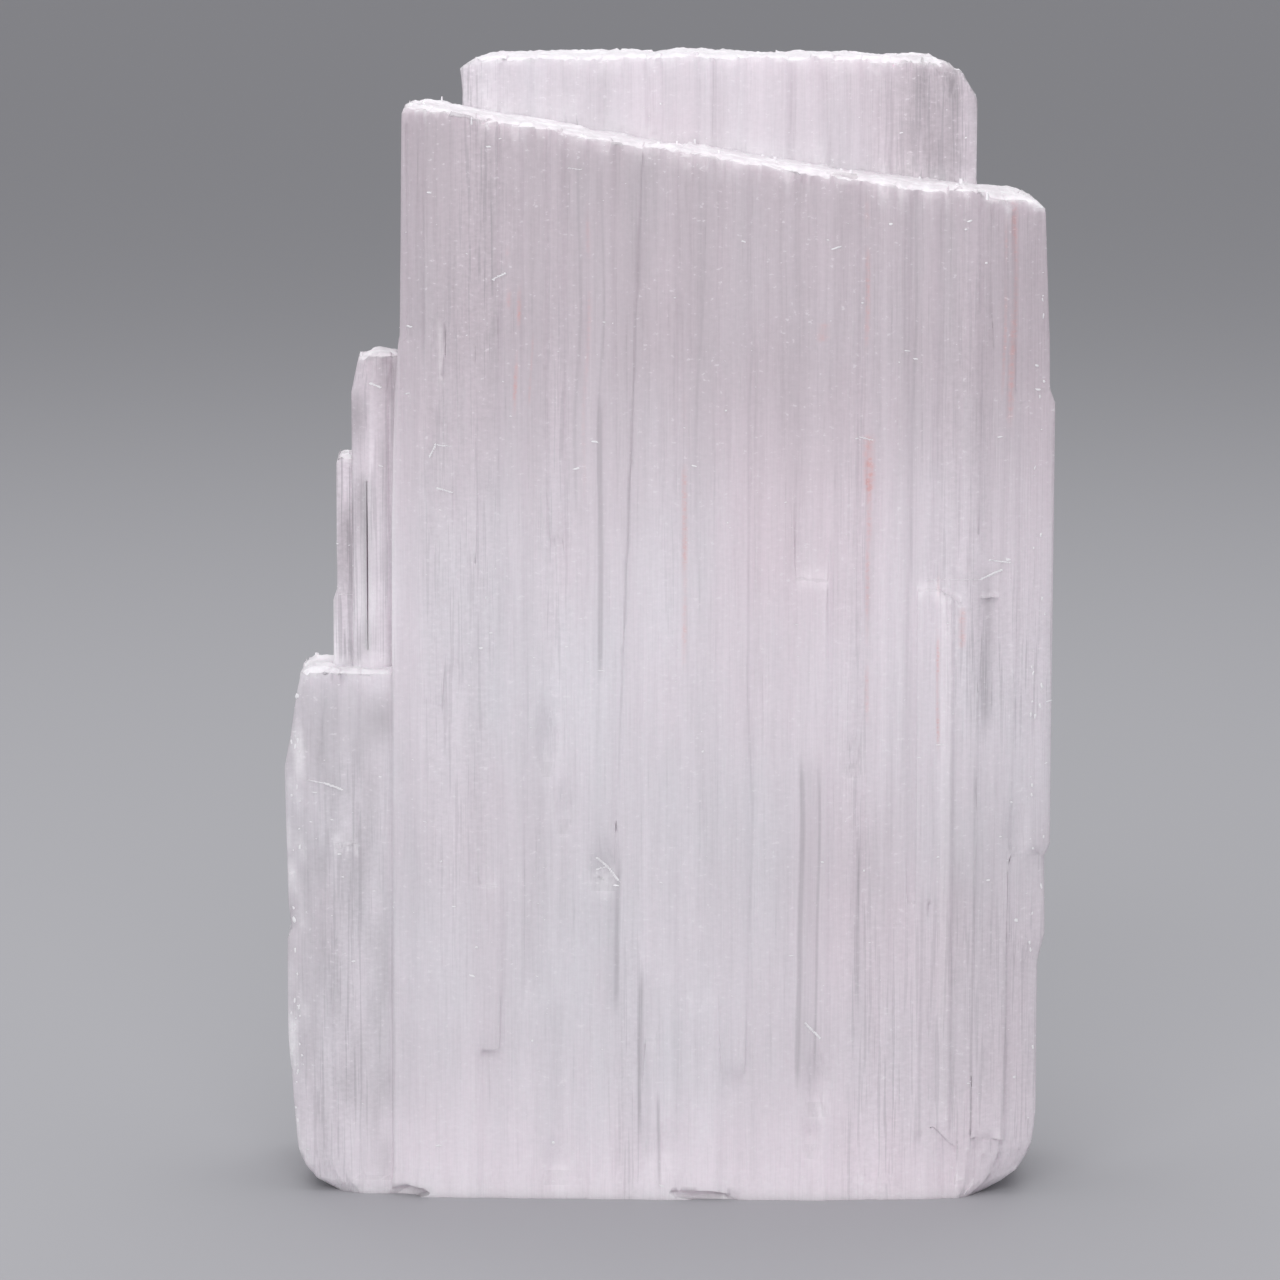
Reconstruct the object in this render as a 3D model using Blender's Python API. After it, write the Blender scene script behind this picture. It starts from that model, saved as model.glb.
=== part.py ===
"""A block of fibrous gypsum, the satin spar kind, standing on its flat end.

It is one cleaved piece. Its fibres run upright, so it splits into blades: a front slab with a slanted
crest, a slab behind it that stands taller, a low block on the left and a stair of narrow blades above
that block. Each blade is a bundle of upright strips. The blades have grown together, so they are
joined in one solid. Flakes stand a little proud of the faces, and chips are broken out of the edges.

Sizes are in millimetres until a mesh is made: X runs to the right, Y to the back and Z up.
"""

import random
from dataclasses import dataclass

import bmesh
import bpy
import numpy as np
from mathutils import Matrix, Vector

MM = 0.001
NODE = "gypsum_block"

# Where the open faces of the two great slabs lie
FRONT = -11.4
BACK = 10.7

# Least and most width of a strip of fibre: on open faces, on narrow blades and where blades hide it
OPEN = (0.8, 2.4)
FINE = (0.7, 1.4)
HIDDEN = (7.0, 9.0)
# How far a strip stands in front of the next, how far it leans as a share of that, how wide the riser
# between two strips is, and how far from a corner they begin
STRIP_STEP = 0.13
STRIP_LEAN = 0.3
STRIP_GAP = 0.14
CORNER = 0.45

# Some strips are broken off near one of these heights, and lie higher or lower above it. A turn of the
# flanks that is closer than the clear height to a break gives way to it.
BREAK_HEIGHTS = (11.0, 24.0, 36.5, 47.0, 60.0)
BREAK_SHIFT = 3.4
BREAK_SHARE = 0.2
BREAK_STEP = 0.15
BREAK_RISE = 0.22
BREAK_CLEAR = 0.44

# The ends of the fibres: a broken rim round a flatter middle. The ranges are shares of the rim's drop
# and of the middle's roughness.
RIM_INSET = 0.85
RIM_SHARE = 0.3
RIM_DROP = 0.34
RIM_RANGE = (0.2, 1.0)
CREST_ROUGH = 0.2
CREST_RANGE = (-0.4, 1.0)

# The blades reach below the floor, each to its own depth, and one cut makes their feet level
FOOT_DEPTH = 0.3
FOOT_STAGGER = 0.02
FLOOR_CUT = 4.0
FLOOR_REACH = 80.0

# How far in from a flank its outline still moves the strips of the faces, and how far from a corner
# the strips take to stand out in full
FLANK_ZONE = 6.5
CORNER_ZONE = 3.0


@dataclass
class Blade:
    """A bundle of upright strips between two flanks and two faces.

    span gives the X of the left and the right flank, and left and right how those flanks lie off it
    at heights. front and back give a face's Y across X. crest gives the height of the top across X.
    levels are heights at which the flanks turn, and shoulders are more of them, as depths below the
    crest. The three pairs in strips are the least and most width of a strip on the front, on the
    flanks and on the back. breaks counts the heights at which strips may be broken.
    """

    name: str
    span: tuple
    left: tuple
    right: tuple
    front: tuple
    back: tuple
    crest: tuple
    levels: tuple
    breaks: int
    seed: int
    shoulders: tuple = (0.9,)
    strips: tuple = (OPEN, OPEN, OPEN)
    step: float = STRIP_STEP


@dataclass
class Column:
    """One upright line of points: its place in plan, the way out of its side, and its strip.

    proud holds how far the strip stands out between each two of its breaks, from the foot up, and
    shifts how far each break lies from its usual height.
    """

    x: float
    y: float
    out: tuple
    proud: tuple
    shifts: tuple


FRONT_SLAB = Blade(
    name="front_slab",
    span=(-19.2, 26.3),
    left=((0, -0.2), (47, 0), (59.6, 0.3), (60.2, 0.6), (75.4, 0.7), (76.6, 1.2)),
    right=(
        (0, -4.4), (0.8, -2.9), (1.7, -1.7), (3.4, -0.7), (5.6, -0.4), (16.6, -0.4), (18.4, 0.1),
        (24.0, 0.0), (24.8, 0.4), (55.8, 0.45), (56.6, 0.1), (68.6, -0.1), (69.3, -0.4), (70.1, -1.2),
    ),
    front=((-19.2, -9.7), (-17.8, -9.9), (-17.4, -10.4), (-8, -10.9), (3, -11.2), (10, FRONT),
           (17, -11.0), (21.5, -10.5), (24, -9.7), (26.3, -8.7)),
    back=((-19.2, 1.6), (26.3, 1.4)),
    crest=((-19.2, 76.6), (-15, 76.1), (-10, 75.3), (-5, 74.4), (3, 73.1), (9, 72.1), (14.5, 71.3),
           (17, 70.9), (21, 70.8), (23, 70.2), (26.3, 70.1)),
    levels=(0.8, 1.7, 3.4, 5.6, 16.6, 18.4, 24.8, 55.8, 56.6),
    breaks=5,
    seed=11,
    strips=(OPEN, OPEN, HIDDEN),
)

BACK_SLAB = Blade(
    name="back_slab",
    span=(-14.6, 21.7),
    left=((0, 0), (76.6, 0.1), (78.6, -0.1), (79.4, 1.0)),
    right=((0, -0.3), (76.4, 0.1), (78.2, -0.9), (79.3, -2.4)),
    front=((-14.6, 0.4), (-11, -0.1), (8, -0.3), (18, 0.1), (21.7, 0.9)),
    back=((-14.6, 9.4), (-12.5, 10.1), (-4, BACK), (6, 10.5), (16, 10.1), (19, 9.4), (21.7, 8.3)),
    crest=((-14.6, 79.4), (0, 79.6), (10, 79.5), (21.7, 79.2)),
    levels=(16, 70),
    breaks=5,
    seed=23,
    shoulders=(2.8, 0.9),
    step=0.2,
)

LOW_BLOCK = Blade(
    name="low_block",
    span=(-26.7, -15.0),
    left=(
        (0, 3.5), (0.8, 2.0), (1.7, 1.1), (3.0, 0.5), (6.0, 0.3), (10.0, -0.1), (18.0, -0.1),
        (18.8, 0.25), (20.4, 0), (30.2, -0.2), (31.8, 0.15), (35.2, 0.7), (36.4, 0.95), (37.4, 1.1),
    ),
    right=((0, 0), (40, 0)),
    front=((-26.7, -8.1), (-25.2, -8.7), (-23, -9.1), (-18, -9.4), (-15, -9.0)),
    back=((-26.7, -1.2), (-25, -0.4), (-15, -0.1)),
    crest=((-26.7, 37.2), (-23, 37.4), (-15, 37.3)),
    levels=(0.8, 1.7, 3.0, 6.0, 18.0, 18.8, 20.4, 30.2, 31.8),
    breaks=2,
    seed=37,
    shoulders=(2.1, 0.9),
    strips=(OPEN, OPEN, HIDDEN),
)

LOW_BLOCK_BACK = Blade(
    name="low_block_back",
    span=(-25.8, -9.0),
    left=((0, 2.9), (1.5, 0.8), (4, 0.1), (14, -0.1), (30.4, 0.2), (31.6, 0.9)),
    right=((0, 0), (40, 0)),
    front=((-25.8, -3.0), (-9, -3.0)),
    back=((-25.8, 6.6), (-24, 7.9), (-15, 9.3), (-9, 9.6)),
    crest=((-25.8, 31.4), (-20, 32.6), (-9, 34.2)),
    levels=(1.5, 4, 18),
    breaks=2,
    seed=41,
    strips=(HIDDEN, OPEN, OPEN),
)

OUTER_STAIR = Blade(
    name="outer_stair",
    span=(-23.5, -18.8),
    left=((0, 0), (41.6, 0), (42.4, 0.25), (51.2, 0.25), (52.0, 0.4)),
    right=((0, 0), (60, 0)),
    front=((-23.5, -5.4), (-21.8, -5.8), (-18.8, -5.6)),
    back=((-23.5, -1.2), (-18.8, -0.8)),
    crest=((-23.5, 52.1), (-18.8, 51.9)),
    levels=(30, 41.6, 42.4),
    breaks=0,
    seed=53,
    strips=(FINE, FINE, HIDDEN),
)

INNER_STAIR = Blade(
    name="inner_stair",
    span=(-22.1, -16.8),
    left=((0, 0), (56.4, 0), (57.8, 0.35), (59.2, 0.5)),
    right=((0, 0), (60, 0)),
    front=((-22.1, -6.6), (-21.0, -7.6), (-16.8, -7.4)),
    back=((-22.1, -3.4), (-16.8, -2.4)),
    crest=((-22.1, 59.1), (-20.2, 59.3), (-16.8, 59.0)),
    levels=(30, 45),
    breaks=0,
    seed=59,
    shoulders=(2.8, 0.9),
    strips=(FINE, FINE, HIDDEN),
)

REAR_STAIR = Blade(
    name="rear_stair",
    span=(-20.9, -12.0),
    left=((0, 0), (45.6, 0.1), (46.6, 0.9)),
    right=((0, 0), (60, 0)),
    front=((-20.9, -3.2), (-12, -3.2)),
    back=((-20.9, 3.9), (-18, 5.0), (-12, 5.4)),
    crest=((-20.9, 46.3), (-12, 47.6)),
    levels=(28,),
    breaks=3,
    seed=61,
    strips=(HIDDEN, OPEN, OPEN),
)

RIGHT_REAR = Blade(
    name="right_rear",
    span=(13.0, 24.8),
    left=((0, 0), (70, 0)),
    right=((0, -3.6), (1.6, -1.6), (4.4, -0.3), (20, 0.1), (42.6, 0), (43.4, -0.6), (61, -0.8), (62.4, -1.6)),
    front=((13, -0.6), (24.8, -0.6)),
    back=((13, 9.4), (20, 8.9), (23.2, 7.6), (24.8, 6.0)),
    crest=((13, 65.4), (19, 63.6), (24.8, 62.2)),
    levels=(1.6, 4.4, 42.6, 43.4),
    breaks=4,
    seed=67,
    strips=(HIDDEN, OPEN, OPEN),
)

BACK_RIB = Blade(
    name="back_rib",
    span=(-6.2, 8.2),
    left=((0, 0), (60, 0.2)),
    right=((0, 0), (60, -0.4)),
    front=((-6.2, 9.4), (8.2, 9.4)),
    back=((-6.2, 11.3), (-5, 12.0), (4, 12.3), (7, 11.9), (8.2, 11.2)),
    crest=((-6.2, 54.8), (-2, 53.2), (4, 51.9), (8.2, 50.6)),
    levels=(30,),
    breaks=4,
    seed=71,
    strips=(HIDDEN, FINE, OPEN),
)

BLADES = (
    FRONT_SLAB, BACK_SLAB, LOW_BLOCK, LOW_BLOCK_BACK, OUTER_STAIR,
    INNER_STAIR, REAR_STAIR, RIGHT_REAR, BACK_RIB,
)

# Thin flakes left on the two great faces: which face, X from and to, Z from and to, how far proud
FLAKES = (
    (FRONT_SLAB, 17.1, 23.6, 4.2, 43.4, 0.11),
    (BACK_SLAB, -12.6, -9.0, 30.0, 70.4, 0.40),
    (BACK_SLAB, 9.4, 14.0, 20.0, 73.2, 0.36),
    (BACK_SLAB, -4.4, 1.6, 8.0, 33.0, 0.42),
)
FLAKE_STRIPS = (0.9, 1.7)
FLAKE_RANGE = (0.75, 1.1)
FLAKE_SUNK = 1.2
FLAKE_ENDS = 0.9
FLAKE_SLANT = 0.25
ROUGH_SEED = 5

# Chips broken out of edges and pits in the face: centre, half sizes, turn about Y in degrees
CHIPS = (
    ((-27.1, -8.4, 33.4), (0.55, 1.5, 2.1), 8),
    ((-27.2, -8.6, 19.4), (0.75, 1.3, 1.1), -12),
    ((-27.2, -8.0, 8.0), (0.6, 1.6, 1.4), 10),
    ((-26.4, -1.0, 26.0), (0.9, 1.5, 4.6), 4),
    ((27.2, -8.9, 18.0), (0.85, 1.4, 1.3), 14),
    ((27.1, -8.6, 12.4), (0.6, 1.1, 2.0), -6),
    ((27.2, -8.7, 57.6), (0.6, 1.5, 1.0), -16),
    ((25.4, 6.6, 36.0), (0.8, 1.7, 4.2), 3),
    ((20.6, -11.0, 70.9), (2.4, 0.9, 0.5), 6),
    ((-12.2, -11.2, 75.6), (1.9, 0.8, 0.55), -10),
    ((2.6, -11.6, 0.3), (3.2, 1.1, 0.5), 3),
    ((-18.6, -10.0, 0.3), (2.4, 1.0, 0.6), -4),
    ((7.4, -0.4, 79.8), (3.0, 0.8, 0.5), 2),
    ((16.6, 10.8, 78.6), (2.6, 1.3, 1.6), 12),
    ((-24.6, 8.2, 31.8), (1.8, 1.4, 1.2), 20),
    ((12.0, 10.8, 0.2), (4.0, 1.0, 0.6), 2),
    ((-8.5, -11.15, 32.6), (0.55, 0.45, 2.1), 9),
    ((-4.3, -11.35, 23.4), (0.9, 0.42, 1.1), 32),
    ((10.3, -11.7, 6.6), (0.6, 0.45, 2.9), -4),
)
CHIP_FACET = 0.16

# The upright crack beside the stair of blades: X, half width, share of it at the crack's bottom, front,
# depth, and its opening at heights
CRACK_X = -20.95
CRACK_HALF = 0.075
CRACK_TIP = 0.5
CRACK_FRONT = -8.4
CRACK_DEPTH = 1.7
CRACK_OPENING = ((38.6, 0.3), (42.6, 1.0), (47.2, 0.8), (50.2, 0.3))

# What the stone looks like on the plain model
STONE_COLOUR = (0.66, 0.61, 0.65, 1)
STONE_ROUGHNESS = 0.42
STONE_IOR = 1.52


def across(table, key):
    """The value that a table of (key, value) pairs has at key, in straight lines between its pairs."""
    keys, values = zip(*table)
    return float(np.interp(key, keys, values))


def strip_edges(start, end, widths, rng):
    """The edges of the strips that fill the way from start to end."""
    edges = [start]
    way = 1 if end > start else -1
    least, most = widths
    while abs(end - edges[-1]) > most:
        edges.append(edges[-1] + way * rng.uniform(least, most))
    if abs(end - edges[-1]) < least and len(edges) > 1:
        edges.pop()
    return edges + [end]


def strip_heights(blade, rng):
    """How far a strip stands proud below, between and above its breaks."""
    proud = [rng.uniform(-blade.step, blade.step)]
    for _ in range(blade.breaks):
        broken = rng.random() < BREAK_SHARE
        proud.append(rng.uniform(-BREAK_STEP, BREAK_STEP) if broken else proud[-1])
    return proud


def side(blade, start, end, place, out, widths, rng):
    """The columns of one side of a blade: the corner that it starts from, then two for each strip."""
    way = 1 if end > start else -1
    still = (0,) * (blade.breaks + 1)
    columns = [Column(*place(start), out, still, still)]
    edges = strip_edges(start + way * CORNER, end - way * CORNER, widths, rng)
    for first, last in zip(edges, edges[1:]):
        proud = strip_heights(blade, rng)
        lean = rng.uniform(-STRIP_LEAN, STRIP_LEAN) * blade.step
        shifts = [rng.uniform(-BREAK_SHIFT, BREAK_SHIFT) for _ in range(blade.breaks)]
        for key, tilt in ((first + way * STRIP_GAP / 2, lean), (last - way * STRIP_GAP / 2, -lean)):
            full = min(1, abs(key - start) / CORNER_ZONE, abs(end - key) / CORNER_ZONE)
            columns.append(Column(*place(key), out, [full * (height + tilt) for height in proud], shifts))
    return columns


def plan(blade, rng):
    """All columns of a blade, against the clock as seen from above, from the front left corner."""
    left, right = blade.span
    on_front, on_flank, on_back = blade.strips
    return (
        side(blade, left, right, lambda x: (x, across(blade.front, x)), (0, -1), on_front, rng)
        + side(blade, across(blade.front, right), across(blade.back, right), lambda y: (right, y),
               (1, 0), on_flank, rng)
        + side(blade, right, left, lambda x: (x, across(blade.back, x)), (0, 1), on_back, rng)
        + side(blade, across(blade.back, left), across(blade.front, left), lambda y: (left, y),
               (-1, 0), on_flank, rng)
    )


def on_flanks(blade, x, z):
    """X of a column once the flanks' outlines at height z have moved it, and how near a flank it is."""
    left, right = blade.span
    near_left = max(0.0, 1 - (x - left) / FLANK_ZONE)
    near_right = max(0.0, 1 - (right - x) / FLANK_ZONE)
    moved = x + near_left * across(blade.left, z) + near_right * across(blade.right, z)
    return moved, max(near_left, near_right)


def heights(blade):
    """The heights of a blade's rings below its shoulders, where no strip's break is shifted."""
    pairs = [h + rise for h in BREAK_HEIGHTS[:blade.breaks] for rise in (0, BREAK_RISE)]
    kept = [z for z in blade.levels if all(abs(z - pair) > BREAK_CLEAR for pair in pairs)]
    return sorted([0.0, *pairs, *kept])


def column_height(blade, column, level, near):
    """The height of a column's point on the ring of that level."""
    knots, shifted = [0.0], [0.0]
    for height, shift in zip(BREAK_HEIGHTS, column.shifts[:blade.breaks]):
        moved = height + shift * (1 - near)
        knots += [height, height + BREAK_RISE]
        shifted += [moved, moved + BREAK_RISE]
    ceiling = min(z for _, z in blade.crest) - max(blade.shoulders)
    return float(np.interp(level, knots + [ceiling], shifted + [ceiling]))


def column_point(blade, column, z, segment):
    """The point of a column at height z, on that segment between its strip's breaks."""
    x, near = on_flanks(blade, column.x, z)
    proud = column.proud[0] * near + column.proud[segment] * (1 - near)
    return [x + column.out[0] * proud, column.y + column.out[1] * proud, z]


def squeezed(value, low, high, inset):
    """A value between two ends, once both ends have moved in by inset and pushed what is near them."""
    zone = min(CORNER_ZONE, (high - low) / 2)
    from_low = max(0.0, 1 - (value - low) / zone)
    from_high = max(0.0, 1 - (high - value) / zone)
    return value + inset * (from_low - from_high)


def drawn_in(blade, columns, ring, rng):
    """The ring inside the rim of the crest, a little rough."""
    left, right = min(point[0] for point in ring), max(point[0] for point in ring)
    depth = min(across(blade.back, x) - across(blade.front, x) for x in blade.span)
    inset = min(RIM_INSET, RIM_SHARE * depth)
    inner = []
    for column, (x, y, _) in zip(columns, ring):
        if column.out[0]:
            nearer_x = x - column.out[0] * inset
            nearer_y = squeezed(y, across(blade.front, column.x), across(blade.back, column.x), inset)
        else:
            nearer_x = squeezed(x, left, right, inset)
            nearer_y = y - column.out[1] * inset
        height = across(blade.crest, nearer_x) + rng.uniform(*CREST_RANGE) * CREST_ROUGH
        inner.append([nearer_x, nearer_y, height])
    return inner


def rings_of(blade):
    """A blade's rings of points, from below its foot to the rough of its crest."""
    rng = random.Random(blade.seed)
    columns = plan(blade, rng)
    rings = []
    for level in heights(blade):
        segment = sum(level > h + BREAK_RISE / 2 for h in BREAK_HEIGHTS[:blade.breaks])
        ring = []
        for column in columns:
            _, near = on_flanks(blade, column.x, level)
            ring.append(column_point(blade, column, column_height(blade, column, level, near), segment))
        rings.append(ring)
    for depth in (*blade.shoulders, 0):
        rings.append([
            column_point(blade, column, across(blade.crest, column.x) - depth, blade.breaks)
            for column in columns
        ])
    below = -FOOT_DEPTH - blade.seed * FOOT_STAGGER
    foot = [[x, y, below] for x, y, _ in rings[0]]
    inner = drawn_in(blade, columns, rings[-1], rng)
    for point in rings[-1]:
        point[2] -= rng.uniform(*RIM_RANGE) * RIM_DROP
    return [foot, *rings, inner]


def flake_rings(blade, x_from, x_to, z_from, z_to, proud, rng):
    """The rings of a thin flake with ragged ends, sunk in the face that it lies on."""
    table, way = (blade.front, -1) if blade is FRONT_SLAB else (blade.back, 1)
    edges = strip_edges(x_from, x_to, FLAKE_STRIPS, rng)
    lifts = [proud * rng.uniform(*FLAKE_RANGE) for _ in edges]
    feet = [z_from + rng.uniform(-1, 1) * FLAKE_ENDS for _ in edges]
    heads = [z_to + rng.uniform(-1, 1) * FLAKE_ENDS for _ in edges]
    rings = []
    for ends, lean in ((feet, 0), (feet, FLAKE_SLANT), (heads, -FLAKE_SLANT), (heads, 0)):
        outer = [
            [x, across(table, x) + way * (lift if lean else -FLAKE_SLANT), z + lean]
            for x, lift, z in zip(edges, lifts, ends)
        ]
        inner = [[x, across(table, x) - way * FLAKE_SUNK, z + lean] for x, z in zip(edges, ends)]
        ring = outer + inner[::-1]
        rings.append(ring if way < 0 else ring[::-1])
    return rings


def crack_rings():
    """The rings of the thin wedge that opens the crack beside the stair of blades."""
    rings = []
    for z, opening in CRACK_OPENING:
        half = CRACK_HALF * opening
        tip = half * CRACK_TIP
        rings.append([
            [CRACK_X - half, CRACK_FRONT, z],
            [CRACK_X + half, CRACK_FRONT, z],
            [CRACK_X + tip, CRACK_FRONT + CRACK_DEPTH, z],
            [CRACK_X - tip, CRACK_FRONT + CRACK_DEPTH, z],
        ])
    return rings


def skin(rings):
    """A closed mesh over rings of points that run against the clock as seen from above."""
    mesh = bmesh.new()
    loops = [[mesh.verts.new(Vector(point) * MM) for point in ring] for ring in rings]
    count = len(loops[0])
    for lower, upper in zip(loops, loops[1:]):
        for i in range(count):
            j = (i + 1) % count
            mesh.faces.new((lower[i], lower[j], upper[j], upper[i]))
    for end in (loops[0][::-1], loops[-1]):
        cap = mesh.faces.new(end)
        heights_kept = [vert.co.z for vert in end]
        for vert in end:
            vert.co.z = 0
        cap.normal_update()
        bmesh.ops.triangulate(mesh, faces=[cap], quad_method="BEAUTY", ngon_method="BEAUTY")
        for vert, height in zip(end, heights_kept):
            vert.co.z = height
    return mesh


def chip(centre, half, turn, rng):
    """A rough lump that breaks a hollow out of an edge."""
    mesh = bmesh.new()
    bmesh.ops.create_icosphere(mesh, subdivisions=1, radius=1)
    for vert in mesh.verts:
        vert.co *= 1 + rng.uniform(-CHIP_FACET, CHIP_FACET)
    size = Matrix.Diagonal((*(h * MM for h in half), 1))
    turned = Matrix.Rotation(np.radians(turn), 4, "Y")
    place = Matrix.Translation(Vector(centre) * MM)
    bmesh.ops.transform(mesh, matrix=place @ turned @ size, verts=mesh.verts)
    return mesh


def floor_cut():
    """A box whose top is the level that the block stands on."""
    mesh = bmesh.new()
    bmesh.ops.create_cube(mesh, size=1)
    size = Matrix.Diagonal((FLOOR_REACH * MM, FLOOR_REACH * MM, FLOOR_CUT * MM, 1))
    place = Matrix.Translation((0, 0, -FLOOR_CUT / 2 * MM))
    bmesh.ops.transform(mesh, matrix=place @ size, verts=mesh.verts)
    return mesh


def placed(name, mesh):
    """An object of that mesh, in the scene."""
    data = bpy.data.meshes.new(name)
    mesh.to_mesh(data)
    mesh.free()
    made = bpy.data.objects.new(name, data)
    bpy.context.scene.collection.objects.link(made)
    return made


def combine(block, name, mesh, operation):
    """Joins a mesh to the block, or cuts it out."""
    helper = placed(name, mesh)
    helper.hide_render = True
    helper.display_type = "WIRE"
    modifier = block.modifiers.new(name, "BOOLEAN")
    modifier.operation = operation
    modifier.solver = "EXACT"
    modifier.object = helper


def stone():
    """Milky gypsum with a silky break."""
    material = bpy.data.materials.new("milky_gypsum")
    material.use_nodes = True
    shader = material.node_tree.nodes["Principled BSDF"]
    shader.inputs["Base Color"].default_value = STONE_COLOUR
    shader.inputs["Roughness"].default_value = STONE_ROUGHNESS
    shader.inputs["Metallic"].default_value = 0
    shader.inputs["IOR"].default_value = STONE_IOR
    return material


def settle(block):
    """Applies the joins and cuts, removes what made them, and centres the block over its foot."""
    graph = bpy.context.evaluated_depsgraph_get()
    joined = bpy.data.meshes.new_from_object(block.evaluated_get(graph))
    block.modifiers.clear()
    block.data = joined
    for other in list(bpy.data.objects):
        if other is not block:
            bpy.data.objects.remove(other)
    points = np.array([vert.co for vert in joined.vertices])
    low, high = points.min(axis=0), points.max(axis=0)
    joined.transform(Matrix.Translation((-(low[0] + high[0]) / 2, -(low[1] + high[1]) / 2, -low[2])))


def main():
    """Builds the block."""
    for old in list(bpy.data.objects):
        bpy.data.objects.remove(old)
    first, *others = BLADES
    block = placed(NODE, skin(rings_of(first)))
    for blade in others:
        combine(block, blade.name, skin(rings_of(blade)), "UNION")
    rng = random.Random(ROUGH_SEED)
    for index, flake in enumerate(FLAKES):
        combine(block, f"flake_{index}", skin(flake_rings(*flake, rng)), "UNION")
    for index, size in enumerate(CHIPS):
        combine(block, f"chip_{index}", chip(*size, rng), "DIFFERENCE")
    combine(block, "crack", skin(crack_rings()), "DIFFERENCE")
    combine(block, "floor_cut", floor_cut(), "DIFFERENCE")
    settle(block)
    block.data.materials.clear()
    block.data.materials.append(stone())


main()
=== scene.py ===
"""The looks of an upright block of fibrous gypsum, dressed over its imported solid.

Sizes are in millimetres: X runs to the right, Y to the back and Z up, from the middle of the foot.
The block is cut finely along and across its fibres, so that it can carry their relief, the ragged
ends and the dents. Broken fibre tips and white flecks are pieces of their own that sit on it. Its
stone is milky, with clear fibres, rust stains and white bruises.
"""

import logging
import math
import random
from dataclasses import dataclass, field
from enum import Enum
from itertools import product
from typing import Any, Iterable

import bpy
import numpy as np
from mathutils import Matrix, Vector
from mathutils.bvhtree import BVHTree


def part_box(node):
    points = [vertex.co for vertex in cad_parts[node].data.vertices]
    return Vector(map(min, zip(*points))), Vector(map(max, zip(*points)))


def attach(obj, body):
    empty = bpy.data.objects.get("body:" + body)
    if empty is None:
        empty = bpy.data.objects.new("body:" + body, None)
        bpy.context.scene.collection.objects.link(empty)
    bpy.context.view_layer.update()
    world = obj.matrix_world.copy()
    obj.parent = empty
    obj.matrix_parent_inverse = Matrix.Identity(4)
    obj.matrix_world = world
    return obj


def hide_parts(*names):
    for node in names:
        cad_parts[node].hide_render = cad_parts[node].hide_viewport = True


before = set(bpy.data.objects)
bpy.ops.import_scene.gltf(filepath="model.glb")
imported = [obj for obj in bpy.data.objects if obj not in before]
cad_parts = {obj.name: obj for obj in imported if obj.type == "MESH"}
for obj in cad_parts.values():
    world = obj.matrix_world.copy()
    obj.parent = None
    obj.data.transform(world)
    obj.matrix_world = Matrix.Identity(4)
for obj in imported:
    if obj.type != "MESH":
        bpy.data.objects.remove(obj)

MM = 0.001
LOG = logging.getLogger("gypsum")

# The middle of the noises, and how far up or down an upright face may look
MID = 0.5
UPRIGHT = 0.5

Number = float | int
Colour = tuple[float, float, float]
Span = tuple[float, float]
Socket = bpy.types.NodeSocket


class Wire:
    """A number that varies over a surface, with Python's operators for its sums."""

    def __init__(self, graph: "Graph", socket: Socket) -> None:
        """Keeps the socket that the number comes out of."""
        self.graph = graph
        self.socket = socket

    def __add__(self, other: "Wire | Number") -> "Wire":
        """The sum."""
        return self.graph.math("ADD", self, other)

    __radd__ = __add__

    def __mul__(self, other: "Wire | Number") -> "Wire":
        """The product."""
        return self.graph.math("MULTIPLY", self, other)

    __rmul__ = __mul__

    def __sub__(self, other: "Wire | Number") -> "Wire":
        """The difference."""
        return self.graph.math("SUBTRACT", self, other)

    def __rsub__(self, other: Number) -> "Wire":
        """The difference from a number."""
        return self.graph.math("SUBTRACT", other, self)

    def __abs__(self) -> "Wire":
        """The size of the number without its sign."""
        return self.graph.math("ABSOLUTE", self)

    def clamped(self) -> "Wire":
        """The number kept between zero and one."""
        return self.graph.math("ADD", self, 0.0, clamp=True)

    def rising(self, low: Number, high: Number) -> "Wire":
        """A smooth step from zero at low to one at high, or down again if high is less.

        Args:
            low: where the step is zero.
            high: where the step is one.

        Returns:
            The step.
        """
        return self.graph.ramp(self, low, high)

    def near(self, centre: Number, width: Number) -> "Wire":
        """A soft band round a value: one at its centre, zero at half its width away.

        Args:
            centre: the middle of the band.
            width: its whole width.

        Returns:
            The band.
        """
        return abs(self - centre).rising(width / 2, 0)


@dataclass(frozen=True)
class Grain:
    """Noise in the stone, in millimetres.

    It has the size of its grains across and along the fibres, the number and the strength of its
    finer layers, and a shift that makes two grains of one size differ.
    """

    across: float
    along: float
    detail: float
    roughness: float
    shift: float


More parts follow.
